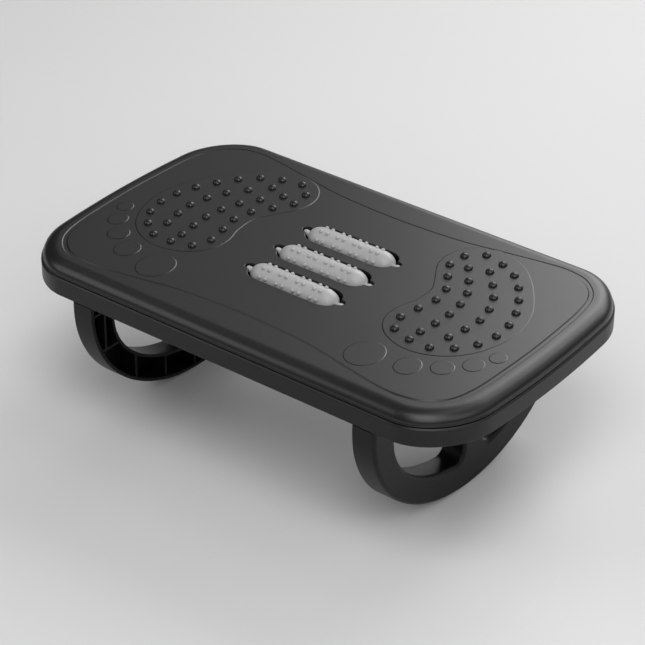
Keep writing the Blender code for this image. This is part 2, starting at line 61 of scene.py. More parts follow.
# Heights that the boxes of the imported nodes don't give.
PANEL_ABOVE_TRAY = 27.8 * MM
LIP_GAP = 0.9 * MM
TONGUE_DEPTH = 5.9 * MM
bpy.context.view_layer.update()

Outline = list[tuple[float, float]]
Loop = list[bmesh.types.BMVert]


class Side(Enum):
    """The two ends of the board, by the sign of X."""

    LEFT = -1
    RIGHT = 1


class Row(Enum):
    """The three rollers, from the toes to the heels."""

    FRONT = "front"
    MIDDLE = "middle"
    REAR = "rear"


class Carving(Enum):
    """What a carving does with its tools, by the name of the operation."""

    TAKE_AWAY = "DIFFERENCE"
    ADD = "UNION"


# ------------------------------------------------------------------ finishes


def linear(code: str) -> tuple[float, float, float, float]:
    """Turns an sRGB hex colour into the linear colour that shaders take.

    Args:
        code: Six hex digits, with or without a leading hash.

    Returns:
        Red, green, blue and an alpha of 1.
    """
    values = [int(code.lstrip("#")[i : i + 2], 16) / 255 for i in (0, 2, 4)]
    return (*[v / 12.92 if v <= 0.04045 else ((v + 0.055) / 1.055) ** 2.4 for v in values], 1.0)


def add_node(tree: bpy.types.NodeTree, kind: str, settings: dict, links: dict) -> bpy.types.Node:
    """Adds one node with its settings and its incoming links.

    Args:
        tree: The material's node tree.
        kind: The node's type, without the ShaderNode prefix.
        settings: Property values by name, and socket values by socket name or index.
        links: The output socket to connect, by input socket name or index.

    Returns:
        The new node.
    """
    node = tree.nodes.new("ShaderNode" + kind)
    for key, value in settings.items():
        if isinstance(key, str) and hasattr(node, key):
            setattr(node, key, value)
        else:
            node.inputs[key].default_value = value
    for key, output in links.items():
        tree.links.new(output, node.inputs[key])
    return node


def new_material(name: str) -> tuple:
    """Starts a material, and gives it with its node tree, its shader and its object coordinates.

    Args:
        name: The material's name.

    Returns:
        The material, its node tree, its shader and its object coordinates.
    """
    material = bpy.data.materials.new(name)
    material.use_nodes = True
    tree = material.node_tree
    place = add_node(tree, "TexCoord", {}, {})
    return material, tree, tree.nodes["Principled BSDF"], place.outputs["Object"]


def noise(tree: bpy.types.NodeTree, place: bpy.types.NodeSocket, settings: dict) -> bpy.types.NodeSocket:
    """Adds a noise over a place, and gives its value."""
    return add_node(tree, "TexNoise", settings, {"Vector": place}).outputs["Fac"]


def tint(tree: bpy.types.NodeTree, share: bpy.types.NodeSocket, colour: str, shade: str) -> None:
    """Colours the shader from one hex colour to another by a share.

    Args:
        tree: The material's node tree.
        share: 0 gives the colour, 1 the shade.
        colour: A hex colour.
        shade: Another.
    """
    settings = {"data_type": "RGBA", 6: linear(colour), 7: linear(shade)}
    mixed = add_node(tree, "Mix", settings, {0: share}).outputs[2]
    tree.links.new(mixed, tree.nodes["Principled BSDF"].inputs["Base Color"])


def gloss(tree: bpy.types.NodeTree, share: bpy.types.NodeSocket, low: float, high: float) -> None:
    """Sets the shader's roughness from low to high by a share."""
    ranged = add_node(tree, "MapRange", {"To Min": low, "To Max": high}, {"Value": share})
    tree.links.new(ranged.outputs["Result"], tree.nodes["Principled BSDF"].inputs["Roughness"])


@dataclass(frozen=True)
class MouldedPlastic:
    """A coloured thermoplastic moulding with a fine spark-eroded texture.

    The texture breaks up reflections into a satin sheen. It is drawn about three times coarser than on a real
    moulding, where it is too fine to tell apart at arm's length.
    """

    name: str
    colour: str
    shade: str
    roughness: float
    roughness_swing: float = 0.04
    grain: float = 0.9 * MM
    grain_depth: float = 0.012 * MM
    flow_size: float = 60 * MM
    specular: float = 0.5

    def material(self) -> bpy.types.Material:
        """Builds the material: flow marks in the colour, grain in the bump and a slightly uneven gloss.

        Returns:
            The material.
        """
        material, tree, shader, place = new_material(self.name)
        shader.inputs["IOR"].default_value = 1.49
        shader.inputs["Specular IOR Level"].default_value = self.specular
        flow = noise(
            tree, place, {"Scale": 1 / self.flow_size, "Detail": 3.0, "Roughness": 0.55, "Distortion": 0.4}
        )
        tint(tree, flow, self.colour, self.shade)
        gloss(tree, flow, self.roughness - self.roughness_swing, self.roughness + self.roughness_swing)
        grain = noise(tree, place, {"Scale": 1 / self.grain, "Detail": 2.0, "Roughness": 0.6})
        relief = add_node(tree, "Bump", {"Strength": 1.0, "Distance": self.grain_depth}, {"Height": grain})
        tree.links.new(relief.outputs["Normal"], shader.inputs["Normal"])
        return material


@dataclass(frozen=True)
class ZincPlatedSteel:
    """Cold-headed steel with a bright zinc plate: pale grey metal, clouded by handling."""

    name: str = "zinc_plated_steel"
    colour: str = "#b9bcc0"
    shade: str = "#8f9398"
    roughness: float = 0.32
    cloud: float = 2.5 * MM

    def material(self) -> bpy.types.Material:
        """Builds the material: a cloudy colour and gloss on metal.

        Returns:
            The material.
        """
        material, tree, shader, place = new_material(self.name)
        shader.inputs["Metallic"].default_value = 1.0
        cloud = noise(tree, place, {"Scale": 1 / self.cloud, "Detail": 4.0, "Roughness": 0.6})
        tint(tree, cloud, self.colour, self.shade)
        gloss(tree, cloud, self.roughness - 0.08, self.roughness + 0.12)
        return material


@dataclass(frozen=True)
class PaleFloor:
    """A pale, matt, seamless floor, very slightly mottled."""

    colour: str = "#dcdcdc"
    shade: str = "#d8d8d8"

    def material(self) -> bpy.types.Material:
        """Builds the material: two near greys mixed by a broad noise, fully matt.

        Returns:
            The material.
        """
        material, tree, shader, place = new_material("pale_floor")
        shader.inputs["Roughness"].default_value = 0.95
        shader.inputs["Specular IOR Level"].default_value = 0.1
        mottle = noise(tree, place, {"Scale": 3.0, "Detail": 2.0})
        tint(tree, mottle, self.colour, self.shade)
        return material


# Polypropylene, injection moulded in a lightly textured tool: near black, satin, soft reflections.
COVER_PLASTIC = MouldedPlastic("satin_black_polypropylene", "#131314", "#161616", 0.35)
# The same polypropylene, polished in the tool, on the massage bumps only: small sharp highlights.
BUMP_PLASTIC = MouldedPlastic(
    "polished_black_polypropylene", "#131313", "#151515", 0.18, grain_depth=0.001 * MM
)
# Polypropylene of the tray, a touch darker and duller than the cover: its darker colour and weaker specular
# are painted shade on the upright skirt.
SHADE_DARKENED_BASE_PLASTIC = MouldedPlastic("black_polypropylene_with_painted_shade", "#0d0d0e", "#0f0f0f", 0.4, specular=0.36)
# The same grade on the rockers, the dullest of the visible mouldings: its darker colour and weaker specular
# are painted shade on the rockers under the board.
SHADE_DARKENED_ROCKER_PLASTIC = MouldedPlastic("black_polypropylene_with_deeper_painted_shade", "#0a0a0b", "#0c0c0c", 0.43, specular=0.27)
# Unpolished axle rails: dull black.
INNER_PLASTIC = MouldedPlastic("plain_black_polypropylene", "#0c0c0c", "#0e0e0e", 0.6, specular=0.3)
# ABS, injection moulded in a finely blasted tool: light grey, satin, on the rollers.
ROLLER_PLASTIC = MouldedPlastic("light_grey_abs", "#ababab", "#a5a5a5", 0.36, flow_size=25 * MM)
# Cold-headed steel, barrel-plated with zinc, on every screw.
SCREW_STEEL = ZincPlatedSteel()


# ------------------------------------------------------------------ outlines


def spline_point(p0: tuple, p1: tuple, p2: tuple, p3: tuple, t: float) -> tuple[float, ...]:
    """Gives the point at t of the Catmull-Rom curve that runs from p1 to p2.

    Args:
        p0: The point before.
        p1: The start.
        p2: The end.
        p3: The point after.
        t: 0 at the start, 1 at the end.

    Returns:
        The point.
    """
    return tuple(
        0.5 * (2 * b + (c - a) * t + (2 * a - 5 * b + 4 * c - d) * t * t + (3 * b - a - 3 * c + d) * t**3)
        for a, b, c, d in zip(p0, p1, p2, p3)
    )


def closed_curve(points: list, steps: int) -> Outline:
    """Runs a smooth closed curve through points, with this many steps from each to the next.

    Args:
        points: What it passes through.
        steps: Steps from each point to the next.

    Returns:
        The curve, without its first point again.
    """
    count = len(points)
    return [
        spline_point(points[i - 1], points[i], points[(i + 1) % count], points[(i + 2) % count], k / steps)
        for i in range(count)
        for k in range(steps)
    ]


def open_curve(points: list, steps: int) -> Outline:
    """Runs a smooth open curve through points, straight past both ends.

    Args:
        points: What it passes through.
        steps: Steps from each point to the next.

    Returns:
        The curve, with both ends.
    """
    first = tuple(2 * a - b for a, b in zip(points[0], points[1]))
    last = tuple(2 * a - b for a, b in zip(points[-1], points[-2]))
    full = [first, *points, last]
    curve = [spline_point(*full[i : i + 4], k / steps) for i in range(len(points) - 1) for k in range(steps)]
    return [*curve, tuple(points[-1])]


def along(curve: Outline, fractions: list[float]) -> Outline:
    """Finds the points of a polyline at fractions of its length.

    Args:
        curve: The polyline.
        fractions: Shares of its length, from 0 to 1.

    Returns:
        One point for each fraction.
    """
    lengths = [0.0]
    for a, b in zip(curve, curve[1:]):
        lengths.append(lengths[-1] + math.dist(a, b))
    found = []
    for fraction in fractions:
        target = fraction * lengths[-1]
        i = max(k for k in range(len(curve) - 1) if lengths[k] <= target + 1e-12)
        t = (target - lengths[i]) / (lengths[i + 1] - lengths[i])
        found.append(tuple(a + (b - a) * t for a, b in zip(curve[i], curve[i + 1])))
    return found


def anticlockwise(points: Outline) -> Outline:
    """Gives the same outline, running anticlockwise."""
    area = sum(a[0] * b[1] - b[0] * a[1] for a, b in zip(points, points[1:] + points[:1]))
    return points if area > 0 else points[::-1]


def shrunk(points: Outline, distances: float | list[float]) -> Outline:
    """Moves an anticlockwise outline inward.

    Args:
        points: The outline.
        distances: How far, for all of it or point by point; negative moves it outward.

    Returns:
        The moved outline, point for point.
    """
    count = len(points)
    if isinstance(distances, float):
        distances = [distances] * count
    moved = []
    for i, (x, y) in enumerate(points):
        (ax, ay), (bx, by) = points[i - 1], points[(i + 1) % count]
        length = math.hypot(bx - ax, by - ay)
        moved.append((x - (by - ay) / length * distances[i], y + (bx - ax) / length * distances[i]))
    return moved


def ellipse(cx: float, cy: float, rx: float, ry: float, sides: int) -> Outline:
    """Gives a closed anticlockwise ellipse."""
    turns = [2 * math.pi * k / sides for k in range(sides)]
    return [(cx + rx * math.cos(t), cy + ry * math.sin(t)) for t in turns]


# ------------------------------------------------------------------ mesh work


def loop(bm: bmesh.types.BMesh, outline: Outline, z: float) -> Loop:
    """Lays a closed wire at one height and gives its points in order.

    Args:
        bm: The mesh to add to.
        outline: The wire's places.
        z: Its height.

    Returns:
        The wire.
    """
    verts = [bm.verts.new((x, y, z)) for x, y in outline]
    for i in range(len(verts)):
        bm.edges.new((verts[i - 1], verts[i]))
    return verts


def upright_loop(bm: bmesh.types.BMesh, outline: Outline, x: float) -> Loop:
    """Lays a closed wire in one X plane, from Y and Z places.

    Args:
        bm: The mesh to add to.
        outline: The wire's Y and Z places.
        x: Its X.

    Returns:
        The wire.
    """
    verts = [bm.verts.new((x, y, z)) for y, z in outline]
    for i in range(len(verts)):
        bm.edges.new((verts[i - 1], verts[i]))
    return verts


def edges_of(bm: bmesh.types.BMesh, wire: Loop) -> list[bmesh.types.BMEdge]:
    """Gives the edges of a wire."""
    return [bm.edges.get((wire[i - 1], wire[i])) for i in range(len(wire))]


def grow(bm: bmesh.types.BMesh, wire: Loop, stages: list[tuple[Outline, float]]) -> Loop:
    """Extrudes a wire through a row of outlines, each with as many points as the wire.

    Args:
        bm: The mesh.
        wire: The wire to start from.
        stages: The outlines with their heights, in order.

    Returns:
        The wire at the last outline.
    """
    for outline, z in stages:
        grown = bmesh.ops.extrude_edge_only(bm, edges=edges_of(bm, wire))["geom"]
        fresh = {part for part in grown if isinstance(part, bmesh.types.BMVert)}
        wire = [next(e.other_vert(v) for e in v.link_edges if e.other_vert(v) in fresh) for v in wire]
        for vert, (x, y) in zip(wire, outline):
            vert.co = (x, y, z)
    return wire


def fill(bm: bmesh.types.BMesh, loops: list[Loop]) -> None:
    """Fills the flat region inside the first wire and outside the others.

    The fill sweeps along Y and takes points nearer than 0.03 units as one, so the wires are blown up and
    turned a little first, which keeps mirrored points from lying level.

    Args:
        bm: The mesh.
        loops: The outer wire, then the holes.
    """
    edges = [edge for wire in loops for edge in edges_of(bm, wire)]
    verts = list({vert for edge in edges for vert in edge.verts})
    turn = Matrix.Rotation(math.radians(FILL_TURN), 3, "Z") * FILL_GROWTH
    bmesh.ops.transform(bm, matrix=turn.to_4x4(), verts=verts)
    bmesh.ops.triangle_fill(bm, use_beauty=True, use_dissolve=False, edges=edges)
    bmesh.ops.transform(bm, matrix=turn.inverted().to_4x4(), verts=verts)


def smooth(mesh: bpy.types.Mesh, sharp_angle: float) -> None:
    """Shades a mesh smooth, with sharp edges where it turns more than this many degrees."""
    mesh.shade_smooth()
    mesh.set_sharp_from_angle(angle=math.radians(sharp_angle))


def mesh_of(name: str, bm: bmesh.types.BMesh, sharp_angle: float = SHARP_ANGLE) -> bpy.types.Object:
    """Cleans the bmesh and turns it into an object of the scene.

    Args:
        name: The object's name.
        bm: The mesh, which is freed.
        sharp_angle: Edges that turn more than this many degrees stay sharp.

    Returns:
        The new object, at the origin.
    """
    bmesh.ops.remove_doubles(bm, verts=bm.verts, dist=1e-6)
    bmesh.ops.recalc_face_normals(bm, faces=bm.faces)
    if bm.calc_volume(signed=True) < 0:
        bmesh.ops.reverse_faces(bm, faces=bm.faces)
    mesh = bpy.data.meshes.new(name)
    bm.to_mesh(mesh)
    bm.free()
    smooth(mesh, sharp_angle)
    obj = bpy.data.objects.new(name, mesh)
    bpy.context.scene.collection.objects.link(obj)
    return obj


def even_shading(obj: bpy.types.Object) -> None:
    """Makes flat faces keep their own normal where they meet narrow rounded bands.

    Args:
        obj: The object, which gets a live modifier.
    """
    modifier = obj.modifiers.new("even_shading", "WEIGHTED_NORMAL")
    modifier.mode = "FACE_AREA"
    modifier.weight = 50
    modifier.keep_sharp = True


def carve(
    obj: bpy.types.Object, cutters: list[bpy.types.Object], carving: Carving = Carving.TAKE_AWAY
) -> None:
    """Takes the cutters away from the object for good, or adds them to it, and removes them.

    Args:
        obj: The object, whose mesh is replaced.
        cutters: Closed objects, used in order.
        carving: Whether they are taken away or added.
    """
    for cutter in cutters:
        modifier = obj.modifiers.new("carve", "BOOLEAN")
        modifier.operation = carving.value
        modifier.solver = "EXACT"
        modifier.object = cutter
    bpy.context.view_layer.update()
    graph = bpy.context.evaluated_depsgraph_get()
    carved = bpy.data.meshes.new_from_object(obj.evaluated_get(graph))
    obj.modifiers.clear()
    obj.data = carved
    for cutter in cutters:
        bpy.data.objects.remove(cutter, do_unlink=True)


def block(low: tuple[float, float, float], high: tuple[float, float, float]) -> bpy.types.Object:
    """Makes a plain block between two corners, to carve with.

    Args:
        low: Its low corner.
        high: Its high corner.

    Returns:
        The block.
    """
    bm = bmesh.new()
    bmesh.ops.create_cube(bm, size=1)
    size = [b - a for a, b in zip(low, high)]
    bmesh.ops.scale(bm, vec=size, verts=bm.verts)
    bmesh.ops.translate(bm, vec=[(a + b) / 2 for a, b in zip(low, high)], verts=bm.verts)
    return mesh_of("cutter", bm)


def peg(x: float, y: float, radius: float, low: float, high: float) -> bpy.types.Object:
    """Makes an upright cylinder, to carve with.

    Args:
        x: Its axis.
        y: Its axis.
        radius: Its radius.
        low: Its foot.
        high: Its top.

    Returns:
        The cylinder.
    """
    bm = bmesh.new()
    bmesh.ops.create_cone(
        bm, cap_ends=True, segments=32, radius1=radius, radius2=radius, depth=high - low,
        matrix=Matrix.Translation((x, y, (low + high) / 2)),
    )
    return mesh_of("cutter", bm)


def dress(
    obj: bpy.types.Object, body: str, nodes: list[str], materials: list[bpy.types.Material]
) -> bpy.types.Object:
    """Gives a finished piece its body, the nodes it stands for and its materials.

    Args:
        obj: The piece.
        body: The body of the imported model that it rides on.
        nodes: The nodes that it replaces.
        materials: Its materials, in slot order.

    Returns:
        The same object.
    """
    obj.data.materials.clear()
    for material in materials:
        obj.data.materials.append(material)
    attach(obj, body)
    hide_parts(*nodes)
    LOG.info("%s: %d faces, for %s", obj.name, len(obj.data.polygons), ", ".join(nodes))
    return obj


# ------------------------------------------------------------------ the board


@dataclass
class BoardPlan:
    """The plan that the cover and the tray share: a rounded rectangle with bowed short sides."""

    half_length: float
    half_depth: float
    corner_radius: float = 58 * MM
    side_bow: float = 9 * MM
    corner_steps: int = 22
    side_steps: int = 20

    def outline(self, inset: float) -> Outline:
        """Gives the plan, moved inward by inset, always with the same number of points.

        Args:
            inset: How far inside the widest outline.

        Returns:
            The closed outline, anticlockwise.
        """
        half_x, half_y = self.half_length - inset, self.half_depth - inset
        radius = self.corner_radius - inset
        flat_y = half_y - radius
        points = []
        for sx, sy, start in ((1, -1, -90), (1, 1, 0), (-1, 1, 90), (-1, -1, 180)):
            for k in range(self.corner_steps + 1):
                turn = math.radians(start + 90 * k / self.corner_steps)
                points.append(
                    (sx * (half_x - radius) + radius * math.cos(turn), sy * flat_y + radius * math.sin(turn))
                )
            if start in (-90, 90):
                steps = range(1, self.side_steps)
                points += [(sx * half_x, sy * flat_y * (1 - 2 * k / self.side_steps)) for k in steps]
        bowed = []
        for x, y in points:
            share = min(max((abs(x) - (half_x - radius)) / radius, 0.0), 1.0)
            bowed.append((x - math.copysign(self.side_bow * (y / half_y) ** 2 * share, x), y))
        return bowed


@dataclass
class BaseTray:
    """The tray: a skirt with a chamfered rim round a flat floor."""

    plan: BoardPlan
    low: float
    rim: float
    floor: float = 3.0 * MM
    wall: float = 3.0 * MM
    chamfer: float = 1.1 * MM
    foot_radius: float = 0.9 * MM
    hole_radius: float = 1.9 * MM

    def build(self, holes: Outline) -> bpy.types.Object:
        """Builds the tray.

        Args:
            holes: Centres of the screw holes in its floor.

        Returns:
            The piece.
        """
        bm = bmesh.new()
        section = [(self.foot_radius, self.low)]
        for k in range(1, 5):
            turn = math.radians(90 * k / 4)
            section.append(
                (self.foot_radius * (1 - math.sin(turn)), self.low + self.foot_radius * (1 - math.cos(turn)))
            )
        section += [
            (0.0, self.rim - self.chamfer - 0.25 * MM),
            (0.07 * MM, self.rim - self.chamfer),
            (self.chamfer, self.rim - 0.07 * MM),
            (self.chamfer + 0.25 * MM, self.rim),
            (self.wall, self.rim),
            (self.wall, self.low + self.floor),
        ]
        foot = loop(bm, self.plan.outline(section[0][0]), section[0][1])
        floor = grow(bm, foot, [(self.plan.outline(inset), z) for inset, z in section[1:]])
        low_holes, high_holes = [], []
        for x, y in holes:
            circle = ellipse(x, y, self.hole_radius, self.hole_radius, 24)
            low_holes.append(loop(bm, circle, self.low))
            high_holes.append(grow(bm, low_holes[-1], [(circle, self.low + self.floor)]))
        fill(bm, [foot, *low_holes])
        fill(bm, [floor, *high_holes])
        tray = mesh_of("tray", bm)
        even_shading(tray)
        # The tray's material carries painted shade: darker and less specular than the cover's plastic.
        return dress(tray, "board", ["base_tray"], [SHADE_DARKENED_BASE_PLASTIC.material()])


@dataclass
class Footprints:
    """Raised footprints on the panel, in millimetres for one foot: sole, toes and massage bumps."""

    sole: tuple = (
        (122, -61), (143, -58.5), (162, -47), (175, -29), (182.5, -4), (182.5, 18), (176, 42),
        (163, 64), (147, 84), (128, 100), (104, 107.5), (82, 99), (70.5, 81), (71.5, 60),
        (82, 40.5), (91, 23), (90.5, 2), (85.5, -18), (88, -37), (101, -53),
    )
    toes: tuple = (
        (106.3, -85, 15.8, 18.8), (142.6, -79, 10.8, 12.8), (165, -64.7, 9.4, 10.4),
        (181.5, -47, 8.4, 10), (190.8, -27.4, 7, 8.1),
    )
    ring: tuple = (
        (96, 94), (131, 82), (156, 52), (171, 16), (168, -21), (141, -48),
        (104, -43), (97, -26), (104, 11), (101, 30), (81, 63), (82, 81),
    )
    ring_count: int = 20
    rows: tuple = (((96, 68), (118, 35), (125, 2), (122, -34)), ((113, 74), (138, 43), (149, 9), (144, -27)))
    row_count: int = 7
    row_power: float = 0.94

    def sole_outline(self, side: Side) -> Outline:
        """Gives the edge of one sole, in metres."""
        return anticlockwise([(side.value * x * MM, y * MM) for x, y in closed_curve(list(self.sole), 8)])

    def toe_outlines(self, side: Side) -> list[Outline]:
        """Gives the edges of one foot's toes, in metres."""
        return [ellipse(side.value * x * MM, y * MM, rx * MM, ry * MM, 56) for x, y, rx, ry in self.toes]

    def bump_centres(self, side: Side) -> Outline:
        """Gives the places of one foot's bumps, in metres: a ring, then two rows inside it.

        Args:
            side: Which foot.

        Returns:
            Their centres.
        """
        ring = closed_curve(list(self.ring), 12)
        centres = along(ring + ring[:1], [k / self.ring_count for k in range(self.ring_count)])
        last = self.row_count - 1
        shares = [(k / last) ** self.row_power for k in range(self.row_count)]
        for row in self.rows:
            centres += along(open_curve(list(row), 12), shares)
        return [(side.value * x * MM, y * MM) for x, y in centres]


@dataclass
class RollerSlot:
    """The opening over one roller: the roller's outline plus a clearance, with a notch for each stub."""

    half_width: float = 13.5 * MM
    straight_half: float = 30.5 * MM
    body_half: float = 43.9 * MM
    notch_half: float = 3.6 * MM
    tip: float = 50.4 * MM

    def outline(self, row_y: float) -> Outline:
        """Gives the slot's edge over a roller whose axle is at row_y.

        Args:
            row_y: Y of the axle.

        Returns:
            The closed outline, anticlockwise.
        """
        quarter = []
        for k in range(15):
            turn = math.radians(84 * k / 14)
            reach = self.straight_half + (self.body_half - self.straight_half) * math.sin(turn)
            quarter.append((reach, self.notch_half + (self.half_width - self.notch_half) * math.cos(turn)))
        for k in range(6):
            turn = math.radians(90 * k / 6)
            quarter.append(
                (self.tip - self.notch_half * (1 - math.sin(turn)), self.notch_half * math.cos(turn))
            )
        right = [(x, -y) for x, y in quarter] + [(self.tip, 0.0)] + quarter[::-1]
        return [(x, y + row_y) for x, y in right + [(-x, -y) for x, y in right]]


@dataclass
class TopCover:
    """The top shell: rolled edge, raised panel, footprints, bumps, roller slots, tongue and screw bosses."""

    plan: BoardPlan
    footprints: Footprints
    slots: RollerSlot
    low: float
    lip: float
    panel: float
    floor: float
    inset: float = 1.2 * MM
    tongue_inset: float = 3.3 * MM
    tongue_wall: float = 2.0 * MM
    plate: float = 3.0 * MM
    lip_height: float = 1.0 * MM
    ledge: float = 0.55 * MM
    roll_width: float = 13.6 * MM
    roll_steps: int = 20
    roll_wall: float = 3.2 * MM
    rim_drop: float = 0.4 * MM
    groove_depth: float = 0.8 * MM
    outer_run: float = 0.75 * MM
    inner_run: float = 1.1 * MM
    groove_floor: float = 2.8 * MM
    groove_least: float = 0.05 * MM
    groove_from: float = 132 * MM
    groove_fade: float = 45 * MM
    print_step: float = 0.3 * MM
    print_run: float = 0.8 * MM
    bump_radius: float = 3.75 * MM
    bump_height: float = 2.9 * MM
    bump_sides: int = 24
    bump_rings: int = 7
    slot_break: float = 0.5 * MM
    sharp_angle: float = 18.0
    boss_radius: float = 4.0 * MM
    pilot_radius: float = 1.8 * MM
    panel_quarter: tuple = (
        (0, 98.5), (60, 101.5), (100, 108.5), (140, 115.8), (162, 117.8),
        (182, 112.5), (198, 96.5), (205, 72), (207.5, 35), (208.3, 0),
    )

    def panel_outline(self) -> Outline:
        """Gives the panel's outer edge: long sides that bow inward, and rounded corners.

        Returns:
            The closed outline, anticlockwise.
        """
        right = list(self.panel_quarter) + [(x, -y) for x, y in self.panel_quarter[-2::-1]]
        left = [(-x, y) for x, y in right[-2:0:-1]]
        return anticlockwise([(x * MM, y * MM) for x, y in closed_curve(right + left, 7)])

    def groove_insets(self, outline: Outline) -> list[float]:
        """Gives how far in the groove's inner wall starts, point by point: farther in at the board's ends.

        Args:
            outline: The panel's outer edge.

        Returns:
            One distance for each of its points.
        """
        insets = []
        for x, _ in outline:
            share = min(max((abs(x) - self.groove_from) / self.groove_fade, 0.0), 1.0)
            widening = self.groove_floor * share * share * (3 - 2 * share)
            insets.append(self.outer_run + self.groove_least + widening)
        return insets

    def rolled_edge(self, bm: bmesh.types.BMesh) -> tuple[Loop, Loop]:
        """Builds the outside from the foot of the tongue, over the lip and the roll, to the rim.

        Args:
            bm: The mesh to add to.

        Returns:
            The wire at the foot of the tongue and the wire at the rim.
        """
        ledge_z = self.lip + self.lip_height
        start = self.inset + self.ledge
        section = [
            (self.tongue_inset + self.tongue_wall, self.low),
            (self.tongue_inset, self.low),
            (self.tongue_inset, self.lip),
            (self.inset + 0.3 * MM, self.lip),
            (self.inset + 0.08 * MM, self.lip + 0.08 * MM),
            (self.inset, self.lip + 0.3 * MM),
            (self.inset, ledge_z - 0.2 * MM),
            (self.inset + 0.12 * MM, ledge_z),
            (start, ledge_z + 0.12 * MM),
        ]
        base = ledge_z + 0.22 * MM
        top = self.panel - self.rim_drop
        width = self.inset + self.roll_width - start
        for k in range(self.roll_steps + 1):
            turn = math.radians(90 * k / self.roll_steps)
            section.append((start + width * (1 - math.cos(turn)), base + (top - base) * math.sin(turn)))
        foot = loop(bm, self.plan.outline(section[0][0]), section[0][1])
        return foot, grow(bm, foot, [(self.plan.outline(inset), z) for inset, z in section[1:]])

    def groove(self, bm: bmesh.types.BMesh, rim: Loop) -> Loop:
        """Sinks the shallow groove between the rim and the panel.

        Args:
            bm: The mesh to add to.
            rim: The wire at the top of the rolled edge.

        Returns:
            The wire at the edge of the panel.
        """
        outline = self.panel_outline()
        insets = self.groove_insets(outline)
        bottom = self.panel - self.groove_depth
        outside = loop(bm, outline, self.panel - self.rim_drop)
        fill(bm, [rim, outside])
        stages = [
            (shrunk(outline, self.outer_run), bottom),
            (shrunk(outline, insets), bottom),
            (shrunk(outline, [d + self.inner_run for d in insets]), self.panel),
        ]
        return grow(bm, outside, stages)

    def bump(self, bm: bmesh.types.BMesh, x: float, y: float, z: float) -> Loop:
        """Raises one domed bump.

        Args:
            bm: The mesh to add to.
            x: Its centre.
            y: Its centre.
            z: The height of the surface that it stands on.

        Returns:
            The wire round its foot.
        """
        before = len(bm.faces)
        stages = []
        for k in range(self.bump_rings):
            turn = math.radians(90 * k / self.bump_rings)
            radius = self.bump_radius * math.cos(turn)
            height = z + self.bump_height * math.sin(turn)
            stages.append((ellipse(x, y, radius, radius, self.bump_sides), height))
        foot = loop(bm, *stages[0])
        crown = grow(bm, foot, stages[1:])
        cap = bmesh.ops.contextual_create(bm, geom=edges_of(bm, crown))["faces"]
        bmesh.ops.poke(bm, faces=cap)
        bm.faces.ensure_lookup_table()
        for face in bm.faces[before:]:
            face.material_index = 1
        return foot

    def prints(self, bm: bmesh.types.BMesh) -> list[Loop]:
        """Raises the soles, toes and bumps, and returns the wires round them on the panel.

        Args:
            bm: The mesh to add to.

        Returns:
            The wires where they meet the panel.
        """
        holes = []
        top = self.panel + self.print_step
        for side in Side:
            sole = self.footprints.sole_outline(side)
            for outline in [sole, *self.footprints.toe_outlines(side)]:
                low = loop(bm, outline, self.panel)
                high = grow(bm, low, [(shrunk(outline, self.print_run), top)])
                holes.append(low)
                bumps = self.footprints.bump_centres(side) if outline is sole else []
                fill(bm, [high, *[self.bump(bm, x, y, top) for x, y in bumps]])
        return holes

    def build(self, row_places: list[float], bosses: Outline, pilot_top: float) -> bpy.types.Object:
        """Builds the cover.

        Args:
            row_places: Y of each roller's axle.
            bosses: Centres of the screw bosses under it.
            pilot_top: How high the blind screw holes reach.

        Returns:
            The piece.
        """
        bm = bmesh.new()
        tongue, rim = self.rolled_edge(bm)
        panel_edge = self.groove(bm, rim)
        holes = self.prints(bm)
        under = self.panel - self.plate
        under_holes = []
        for row_y in row_places:
            outline = self.slots.outline(row_y)
            holes.append(loop(bm, shrunk(outline, -self.slot_break), self.panel))
            stages = [
                (shrunk(outline, -0.3 * self.slot_break), self.panel - 0.3 * self.slot_break),
                (outline, self.panel - self.slot_break),
                (outline, under),
            ]
            under_holes.append(grow(bm, holes[-1], stages))
        fill(bm, [panel_edge, *holes])
        for x, y in bosses:
            boss = ellipse(x, y, self.boss_radius, self.boss_radius, 32)
            pilot = ellipse(x, y, self.pilot_radius, self.pilot_radius, 32)
            under_holes.append(loop(bm, boss, under))
            blind = grow(bm, under_holes[-1], [(boss, self.floor), (pilot, self.floor), (pilot, pilot_top)])
            bmesh.ops.contextual_create(bm, geom=edges_of(bm, blind))
        tongue_in = self.tongue_inset + self.tongue_wall
        stages = []
        for k in range(7):
            turn = math.radians(90 * k / 6)
            inset = tongue_in + (self.roll_width + self.roll_wall - tongue_in) * (1 - math.cos(turn))
            stages.append((self.plan.outline(inset), self.lip + (under - self.lip) * math.sin(turn)))
        fill(bm, [grow(bm, tongue, stages), *under_holes])
        cover = mesh_of("cover", bm, self.sharp_angle)
        even_shading(cover)
        materials = [COVER_PLASTIC.material(), BUMP_PLASTIC.material()]
        return dress(cover, "board", ["top_cover"], materials)


# ------------------------------------------------------------------ the rockers


